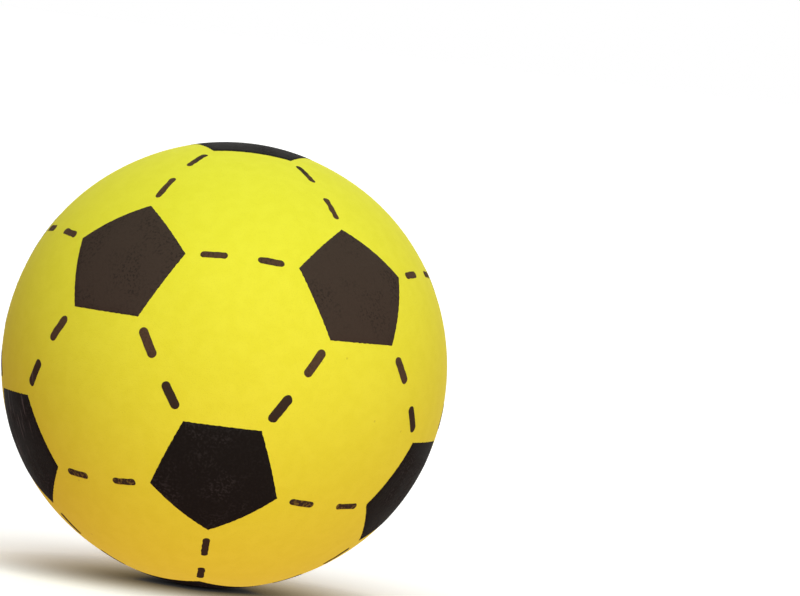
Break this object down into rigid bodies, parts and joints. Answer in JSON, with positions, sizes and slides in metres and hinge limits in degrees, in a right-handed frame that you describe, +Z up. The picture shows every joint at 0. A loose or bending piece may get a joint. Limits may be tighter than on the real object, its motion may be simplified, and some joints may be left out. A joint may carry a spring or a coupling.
{
  "type": "sponge ball",
  "caption": "Soft moulded foam play ball with a dark printed football pattern of pentagons and short round-ended dashes.",
  "frame": {"origin": "middle of the flat patch that the ball rests on, under the middle of the bottom pentagon", "axes": "+Z up, through the middles of the bottom and top pentagons; -Y to the front, where a pentagon of the lower ring faces; +X to the right"},
  "size_m": [0.1994, 0.1986, 0.1995],
  "materials": {
    "yellow_foam": "matte soft polyurethane foam with a smooth moulded outside",
    "dark_ink": "thin flexible printing ink with a low sheen"
  },
  "bodies": {
    "root": {"foam_ball": "yellow_foam", "pentagon_print_top": "dark_ink", "pentagon_print_upper_front_right": "dark_ink", "pentagon_print_upper_right": "dark_ink", "pentagon_print_upper_back": "dark_ink", "pentagon_print_upper_left": "dark_ink", "pentagon_print_upper_front_left": "dark_ink", "pentagon_print_lower_front": "dark_ink", "pentagon_print_lower_right": "dark_ink", "pentagon_print_lower_back_right": "dark_ink", "pentagon_print_lower_back_left": "dark_ink", "pentagon_print_lower_left": "dark_ink", "pentagon_print_bottom": "dark_ink"}
  },
  "joints": []
}
